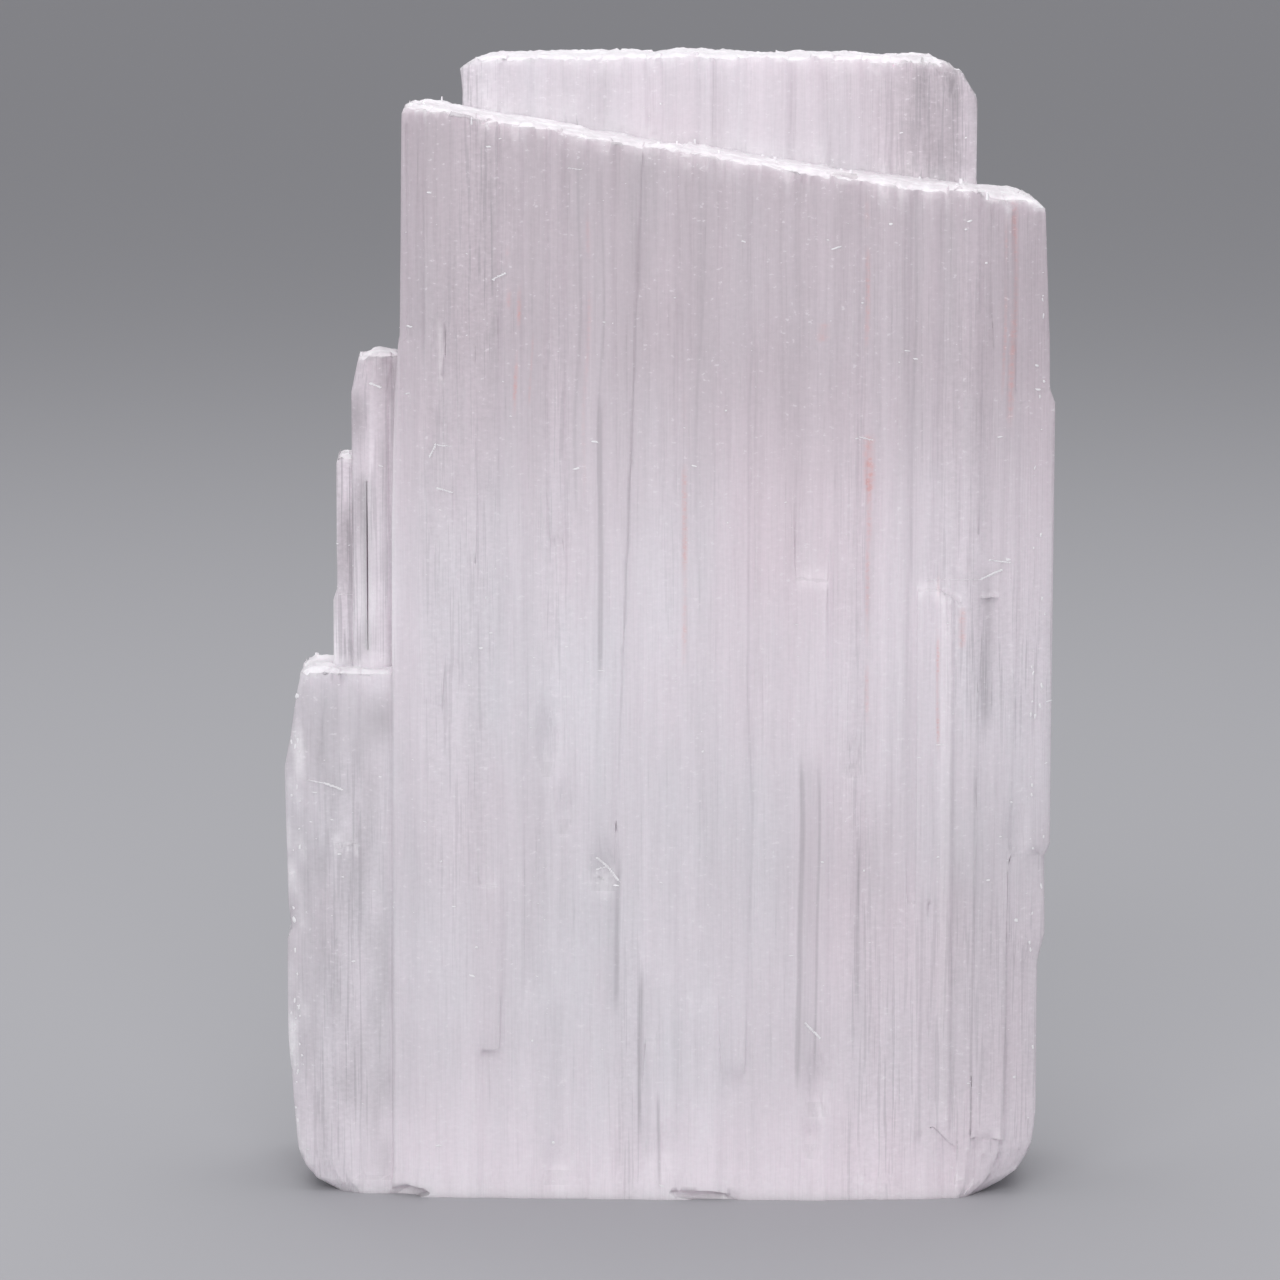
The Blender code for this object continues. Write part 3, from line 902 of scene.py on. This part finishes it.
@dataclass(frozen=True)
class Marks:
    """What the stone looks like from place to place, kept as attributes of a piece.

    The tone, which holds painted glow and shade besides the stone's own random tone, is what is added to a
    brightness of one, and the waver is in millimetres. The blush, the haze of clear fibres, the ledges of
    the front, the stains and the white bruises go from zero to one.
    """

    shift: tuple[float, float, float] = (0.06, -0.44, 0.0)
    crest_spread: float = 0.4
    crest_white: float = 0.15
    crest_patches: float = 0.45
    ledge_clean: float = 0.8
    dent_white: float = 0.15
    dent_rim: Span = (1.3, 0.5)
    dent_face: Fade = Fade(Axis.Y, -4.0, -5.0)

    def work_out(self, piece: bpy.types.Object) -> None:
        """Works out all marks.

        Args:
            piece: the piece.
        """
        mesh = piece.data
        flat = np.empty(len(mesh.vertices) * 3, np.float32)
        mesh.vertices.foreach_get("co", flat)
        points = flat.reshape(-1, 3).astype(float) / MM - np.array(self.shift)
        # The tone carries painted glow and shade besides the stone's own random tone.
        values = {"tone_and_painted_light": add_up(TONE_AND_PAINTED_LIGHT, points), "waver": add_up(WAVER, points)}
        for name, areas in {"blush": BLUSH, "haze": HAZE, "ledge": LEDGE, "stain": STAIN}.items():
            values[name] = np.clip(add_up(areas, points), 0.0, 1.0)
        crest = spread(piece, sides_and_ends(piece)[1], self.crest_spread)
        values["white"] = self.white(points, crest * (1 - self.ledge_clean * values["ledge"]))
        for name, numbers in values.items():
            layer = mesh.attributes.new(name, "FLOAT", "POINT")
            layer.data.foreach_set("value", numbers.astype(np.float32))

    def white(self, points: np.ndarray, crest: np.ndarray) -> np.ndarray:
        """How bruised the stone is: at its crests, on its edges and at its dents.

        Args:
            points: where, one a row.
            crest: one for the points of the fibres' ends, and less for those next to them.

        Returns:
            The bruising, from zero to one.
        """
        x, _, z = points.T
        patches = BRUISES.share(points)
        white = crest * (self.crest_white + self.crest_patches * patches) + LOW_EDGE.value(points)
        for dent in DENTS:
            reach = np.hypot((x - dent.x) / dent.width, (z - dent.z) / dent.height)
            inside = rise(reach, *self.dent_rim) * self.dent_face.share(points)
            white = white + self.dent_white * inside * patches
        return np.clip(white, 0.0, 1.0)


@dataclass
class Block:
    """The block of gypsum."""

    node: str = "gypsum_block"
    body: str = "root"
    slot: str = "gypsum"
    coarse_gap: float = 1.8
    width_gap: float = 0.22
    depth_gap: float = 0.30
    level_gap: float = 1.0
    foot_zone: float = 1.1
    ends_from: float = 5.0
    softening: tuple[int, int] = (1, 4)
    softness: float = 0.5
    foot_edge: float = 0.01
    level: float = 0.99
    merge_gap: float = 0.002
    level_angle: float = 0.8
    crease: float = 32.0
    face_y: float = -5.0
    square: float = 0.7
    stair: Span = (-18.9, 37.0)
    crack: tuple[tuple[float, float, float], ...] = ((-21.2, -8.0, 38.0), (-20.6, -6.3, 50.6))
    reliefs: tuple[Relief, ...] = (
        Relief("broad_fibres", "flanks", (3.2, 3.2, 70.0), 0.10),
        Relief("fibres", "flanks", (0.7, 0.7, 30.0), 0.06),
        Relief("worn_ends", "ends", (1.7, 1.7, 1.7), 0.3, "Z"),
        Relief("ragged_ends", "ends", (0.42, 0.42, 0.42), 0.22, "Z", 0),
    )
    finish: Stone = field(default_factory=Stone)

    def copy(self) -> bpy.types.Object:
        """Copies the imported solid, merges its loose triangles and joins those that are level.

        Returns:
            The copy.
        """
        bpy.ops.object.select_all(action="DESELECT")
        piece = bpy.data.objects.new("fibrous_block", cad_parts[self.node].data.copy())
        bpy.context.scene.collection.objects.link(piece)
        piece.data.materials.clear()
        piece.select_set(True)
        bpy.context.view_layer.objects.active = piece
        bpy.ops.object.mode_set(mode="EDIT")
        bpy.ops.mesh.select_all(action="SELECT")
        bpy.ops.mesh.remove_doubles(threshold=self.merge_gap * MM)
        bpy.ops.mesh.dissolve_limited(angle_limit=math.radians(self.level_angle))
        bpy.ops.object.mode_set(mode="OBJECT")
        return piece

    def cut(self, axis: Axis, gap: float) -> None:
        """Cuts what shows of the piece in edit mode by planes a gap apart.

        Args:
            axis: the axis that the planes are square to.
            gap: how far apart they are.
        """
        low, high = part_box(self.node)
        low, high = low[axis.value], high[axis.value]
        count = math.ceil((high - low) / (gap * MM))
        normal = [0.0, 0.0, 0.0]
        normal[axis.value] = 1.0
        for step in range(1, count):
            place = [0.0, 0.0, 0.0]
            place[axis.value] = low + (high - low) * step / count
            bpy.ops.mesh.select_all(action="SELECT")
            bpy.ops.mesh.bisect(plane_co=place, plane_no=normal)

    def subdivide(self, piece: bpy.types.Object) -> None:
        """Cuts the piece along and across its fibres, all but the foot that it stands on.

        Args:
            piece: the piece.
        """
        bpy.ops.object.mode_set(mode="EDIT")
        bpy.ops.mesh.select_mode(type="FACE")
        bpy.ops.mesh.select_all(action="DESELECT")
        bpy.ops.object.mode_set(mode="OBJECT")
        for face in piece.data.polygons:
            face.select = face.normal.z < -self.level and face.center.z < self.foot_edge * MM
        bpy.ops.object.mode_set(mode="EDIT")
        bpy.ops.mesh.hide(unselected=False)
        coarse = ((Axis.X, self.coarse_gap), (Axis.Y, self.coarse_gap))
        fine = ((Axis.Z, self.level_gap), (Axis.X, self.width_gap), (Axis.Y, self.depth_gap))
        for axis, gap in coarse + fine:
            self.cut(axis, gap)
        bpy.ops.mesh.reveal()
        bpy.ops.object.mode_set(mode="OBJECT")

    def groups(self, piece: bpy.types.Object) -> None:
        """Groups the points of the flanks, of the fibres' ends and of the dents.

        Args:
            piece: the piece.
        """
        ends = piece.vertex_groups.new(name="ends")
        flanks = piece.vertex_groups.new(name="flanks")
        dented = piece.vertex_groups.new(name="dents")
        upright, up = sides_and_ends(piece)
        places = np.array([point.co for point in piece.data.vertices]) / MM
        lowered = (up > 0) & (places[:, 2] > self.ends_from)
        ends.add([int(index) for index in np.flatnonzero(lowered)], 1.0, "REPLACE")
        pressed = (upright > 0) & (places[:, 2] > self.foot_zone) & ~self.in_crack(places)
        flanks.add([int(index) for index in np.flatnonzero(pressed)], 1.0, "REPLACE")
        deepest = max(dent.depth for dent in DENTS)
        for point in piece.data.vertices:
            x, y, z = point.co / MM
            if y >= self.face_y or z <= self.foot_zone:
                continue
            for dent in DENTS:
                reach = math.hypot((x - dent.x) / dent.width, (z - dent.z) / dent.height)
                if reach < 1:
                    dented.add([point.index], dent.depth / deepest * (1 - reach * reach), "REPLACE")

    def in_crack(self, places: np.ndarray) -> np.ndarray:
        """Which places lie in the narrow crack of the stair, which the relief would widen."""
        low, high = np.array(self.crack)
        return np.all((places > low) & (places < high), axis=1)

    def soften(self, piece: bpy.types.Object, axis: Axis) -> None:
        """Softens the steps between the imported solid's strips, on the sides that look along an axis.

        Args:
            piece: the piece.
            axis: the axis, which is also the way that the points move.
        """
        chosen = set()
        for face in piece.data.polygons:
            if abs(face.normal[axis.value]) > self.square and not self.on_stair(face.center / MM):
                chosen.update(face.vertices)
        for point in piece.data.vertices:
            point.select = point.index in chosen and point.co.z > self.foot_zone * MM
        bpy.ops.object.mode_set(mode="EDIT")
        bpy.ops.mesh.select_mode(type="VERT")
        along = {"xaxis": axis is Axis.X, "yaxis": axis is Axis.Y, "zaxis": False}
        bpy.ops.mesh.vertices_smooth(factor=self.softness, repeat=self.softening[axis.value], **along)
        bpy.ops.object.mode_set(mode="OBJECT")

    def on_stair(self, place: Vector) -> bool:
        """Whether a place is on the narrow blades of the stair, whose fibres stay crisp."""
        return place.x < self.stair[0] and place.z > self.stair[1]

    def press(self, piece: bpy.types.Object, relief: Relief) -> None:
        """Presses a layer of relief into the piece.

        Args:
            piece: the piece.
            relief: the layer.
        """
        texture = bpy.data.textures.new(relief.name, "CLOUDS")
        texture.noise_scale = 1.0
        texture.noise_depth = relief.detail
        bpy.ops.object.empty_add(location=(0, 0, 0))
        stretch = bpy.context.object
        stretch.scale = Vector(relief.cell) * MM
        bpy.context.view_layer.update()
        bpy.ops.object.select_all(action="DESELECT")
        piece.select_set(True)
        bpy.context.view_layer.objects.active = piece
        push = piece.modifiers.new(relief.name, "DISPLACE")
        push.texture = texture
        push.texture_coords = "OBJECT"
        push.texture_coords_object = stretch
        push.vertex_group = relief.group
        push.direction = relief.direction
        push.mid_level = 1.0
        push.strength = relief.depth * MM
        bpy.ops.object.modifier_apply(modifier=push.name)
        bpy.data.objects.remove(stretch)
        bpy.data.textures.remove(texture)

    def dent(self, piece: bpy.types.Object) -> None:
        """Presses the dents into the piece.

        Args:
            piece: the piece.
        """
        push = piece.modifiers.new("dents", "DISPLACE")
        push.vertex_group = "dents"
        push.direction = "Y"
        push.mid_level = 0.0
        push.strength = max(dent.depth for dent in DENTS) * MM
        bpy.ops.object.modifier_apply(modifier=push.name)

    def build(self) -> bpy.types.Object:
        """Builds the piece and dresses it.

        Returns:
            The piece.
        """
        piece = self.copy()
        self.subdivide(piece)
        self.groups(piece)
        for axis in (Axis.X, Axis.Y):
            self.soften(piece, axis)
        for relief in self.reliefs:
            self.press(piece, relief)
        self.dent(piece)
        piece.vertex_groups.clear()
        bpy.ops.object.shade_smooth_by_angle(angle=math.radians(self.crease))
        Marks().work_out(piece)
        piece.data.materials.append(self.finish.make())
        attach(piece, self.body)
        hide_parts(self.node)
        return piece


@dataclass
class Flecks:
    """The white flecks and scratches on the block's sides, and how the smallest ones are scattered."""

    block: bpy.types.Object
    finish: Stone
    per_width: float = 11.25
    small: float = 0.06
    spare: float = 0.2
    rarity: int = 4
    stretch: Span = (1.0, 3.5)
    levels: Span = (1.0, 78.0)
    sunk: float = 0.3
    thickness: float = 0.16
    tilt: float = 0.3
    squarest: float = 0.5
    crumple: float = 0.03
    reach: float = 60.0
    edges: tuple[tuple[float, float, float], ...] = ((-26.1, 3.0, 36.0), (25.7, 5.0, 68.0))
    edge_count: int = 34
    edge_scatter: float = 0.5
    edge_width: float = 0.25
    edge_heights: Span = (0.1, 0.7)
    seed: int = 17

    def build(self) -> bpy.types.Object:
        """Builds all flecks as one piece.

        Returns:
            The piece.
        """
        rng = random.Random(self.seed)
        tree = BVHTree.FromObject(self.block, bpy.context.evaluated_depsgraph_get())
        piece = empty_piece("white_flecks")
        bpy.ops.object.mode_set(mode="EDIT")
        for nick in (*NICKS, *(nick for scratch in SCRATCHES for nick in scratch.nicks())):
            self.stick(tree, rng, 0.0, nick)
        for edge, low, high in self.edges:
            for _ in range(self.edge_count):
                x = edge + rng.uniform(-self.edge_scatter, self.edge_scatter)
                nick = Nick(x, rng.uniform(low, high), self.edge_width, rng.uniform(*self.edge_heights))
                self.stick(tree, rng, 0.0, nick)
        low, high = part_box("gypsum_block")
        for turn in range(4):
            half = (high[turn % 2] - low[turn % 2]) / 2 / MM
            for _ in range(int(self.per_width * half)):
                size = self.small + self.spare * rng.random() ** self.rarity
                x, z = rng.uniform(-half, half), rng.uniform(*self.levels)
                nick = Nick(x, z, size * rng.uniform(*self.stretch), size)
                self.stick(tree, rng, turn * math.pi / 2, nick)
        bpy.ops.mesh.select_all(action="SELECT")
        bpy.ops.transform.vertex_random(offset=self.crumple * MM, seed=self.seed)
        bpy.ops.object.mode_set(mode="OBJECT")
        piece.data.materials.append(self.finish.make_bruised())
        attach(piece, "root")
        return piece

    def stick(self, tree: BVHTree, rng: random.Random, turn: float, nick: Nick) -> None:
        """Sticks a fleck to the block, where a ray from one side meets it fairly squarely.

        Args:
            tree: the block's faces.
            rng: the source of random numbers.
            turn: the side that the ray comes from, as an angle round Z from the front.
            nick: the fleck's place as seen from that side, and its size.
        """
        right = Vector((math.cos(turn), math.sin(turn), 0))
        inward = Vector((-math.sin(turn), math.cos(turn), 0))
        start = right * nick.x * MM - inward * self.reach * MM + Vector((0, 0, nick.z * MM))
        place, normal, _, _ = tree.ray_cast(start, inward)
        if place is None or abs(normal.z) > UPRIGHT or normal.dot(inward) > -self.squarest:
            return
        bpy.ops.mesh.primitive_ico_sphere_add(
            subdivisions=1, radius=1.0, location=place - normal * self.thickness * self.sunk * MM,
            rotation=(0, rng.uniform(-self.tilt, self.tilt), math.atan2(normal.y, normal.x) + math.pi / 2),
            scale=(nick.width / 2 * MM, self.thickness / 2 * MM, nick.height / 2 * MM),
        )


@dataclass
class Tips:
    """The broken fibre tips that stand on the block's crests."""

    block: bpy.types.Object
    finish: Stone
    count: int = 60
    tallest: float = 0.4
    shortest: float = 0.08
    rarity: float = 2.2
    width: Span = (0.08, 0.2)
    taper: Span = (0.4, 0.8)
    sides: int = 5
    sunk: float = 0.35
    highest: float = 77.2
    headroom: float = 0.02
    crumple: float = 0.02
    seed: int = 29

    def build(self) -> bpy.types.Object:
        """Builds all tips as one piece.

        Returns:
            The piece.
        """
        rng = random.Random(self.seed)
        faces = [
            face for face in self.block.data.polygons
            if face.normal.z > UPRIGHT and face.center.z < self.highest * MM
        ]
        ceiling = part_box("gypsum_block")[1][2] - self.headroom * MM
        piece = empty_piece("fibre_tips")
        bpy.ops.object.mode_set(mode="EDIT")
        for face in rng.sample(faces, min(self.count, len(faces))):
            place = Vector(face.center)
            tall = min(self.tallest * rng.random() ** self.rarity * MM, ceiling - place.z)
            if tall < self.shortest * MM:
                continue
            width = rng.uniform(*self.width) * MM
            bpy.ops.mesh.primitive_cone_add(
                vertices=self.sides, radius1=width, radius2=width * rng.uniform(*self.taper),
                depth=tall + self.sunk * MM, location=place + Vector((0, 0, (tall - self.sunk * MM) / 2)),
                rotation=(0, 0, rng.uniform(0, math.tau)),
            )
        bpy.ops.mesh.select_all(action="SELECT")
        bpy.ops.transform.vertex_random(offset=self.crumple * MM, seed=self.seed)
        bpy.ops.object.mode_set(mode="OBJECT")
        piece.data.materials.append(self.finish.make_bruised())
        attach(piece, "root")
        return piece


@dataclass(frozen=True)
class Lamp:
    """A soft square light: its place, what it points at, the length of its side and its power in watts."""

    name: str
    place: tuple[float, float, float]
    aim: tuple[float, float, float]
    size: float
    power: float

    def hang(self) -> None:
        """Hangs the light."""
        data = bpy.data.lights.new(self.name, "AREA")
        data.shape = "SQUARE"
        data.size = self.size * MM
        data.energy = self.power
        lamp = bpy.data.objects.new(self.name, data)
        bpy.context.scene.collection.objects.link(lamp)
        lamp.location = Vector(self.place) * MM
        lamp.rotation_euler = (Vector(self.aim) - Vector(self.place)).to_track_quat("-Z", "Y").to_euler()


@dataclass
class Studio:
    """The floor, the lights and the camera."""

    camera_lift: float = 8.0
    camera_reach: float = 379.0
    aim: tuple[float, float, float] = (-1.94, -0.44, 38.0)
    lens: float = 150.0
    nearest: float = 10.0
    floor_size: float = 24000.0
    floor_colour: Colour = (0.40, 0.40, 0.42)
    floor_roughness: float = 0.6
    lamps: tuple[Lamp, ...] = (
        Lamp("top_light", (0, 120, 520), (0, 0, 40), 520, 1.5),
        Lamp("front_light", (-90, -700, 380), (0, 0, 36), 620, 3.6),
    )
    room_colour: Colour = (0.5, 0.5, 0.52)
    room_strength: float = 0.9
    paths: dict[str, int | bool] = field(default_factory=lambda: {
        "max_bounces": 6,
        "diffuse_bounces": 2,
        "glossy_bounces": 2,
        "transmission_bounces": 5,
        "caustics_refractive": False,
        "caustics_reflective": False,
    })

    def lay_floor(self) -> None:
        """Lays the plain pale floor."""
        bpy.ops.object.select_all(action="DESELECT")
        bpy.ops.mesh.primitive_plane_add(size=self.floor_size * MM, location=(0, 0, 0))
        floor = bpy.context.object
        floor.name = "floor"
        graph = Graph("floor_paint")
        paint = graph.node("ShaderNodeBsdfPrincipled", {}, {
            "Base Color": (*self.floor_colour, 1.0), "Roughness": self.floor_roughness,
        })
        floor.data.materials.append(graph.finish(paint.outputs[0]))

    def set_camera(self) -> None:
        """Sets up the camera at the photograph's viewing angle."""
        data = bpy.data.cameras.new("camera")
        data.lens = self.lens
        data.clip_start = self.nearest * MM
        camera = bpy.data.objects.new("camera", data)
        bpy.context.scene.collection.objects.link(camera)
        lift = math.radians(self.camera_lift)
        back = Vector((0, -self.camera_reach * math.cos(lift), self.camera_reach * math.sin(lift)))
        camera.location = (Vector(self.aim) + back) * MM
        camera.rotation_euler = (math.pi / 2 - lift, 0, 0)
        bpy.context.scene.camera = camera

    def build(self) -> None:
        """Sets up the whole studio."""
        self.set_camera()
        self.lay_floor()
        for lamp in self.lamps:
            lamp.hang()
        scene = bpy.context.scene
        scene.world = bpy.data.worlds.new("dim_room")
        scene.world.use_nodes = True
        light = scene.world.node_tree.nodes["Background"].inputs
        light["Color"].default_value = (*self.room_colour, 1.0)
        light["Strength"].default_value = self.room_strength
        scene.view_settings.view_transform = "Standard"
        for name, value in self.paths.items():
            setattr(scene.cycles, name, value)


def main() -> None:
    """Builds the studio, the block and what sits on it, and logs how many faces each piece has."""
    logging.basicConfig(level=logging.INFO, format="%(message)s")
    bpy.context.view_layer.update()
    Studio().build()
    finish = Stone()
    block = Block(finish=finish).build()
    flecks = Flecks(block, finish).build()
    tips = Tips(block, finish).build()
    for piece in (block, flecks, tips):
        LOG.info("%s: %d faces", piece.name, len(piece.data.polygons))


if __name__ == "__main__":
    main()
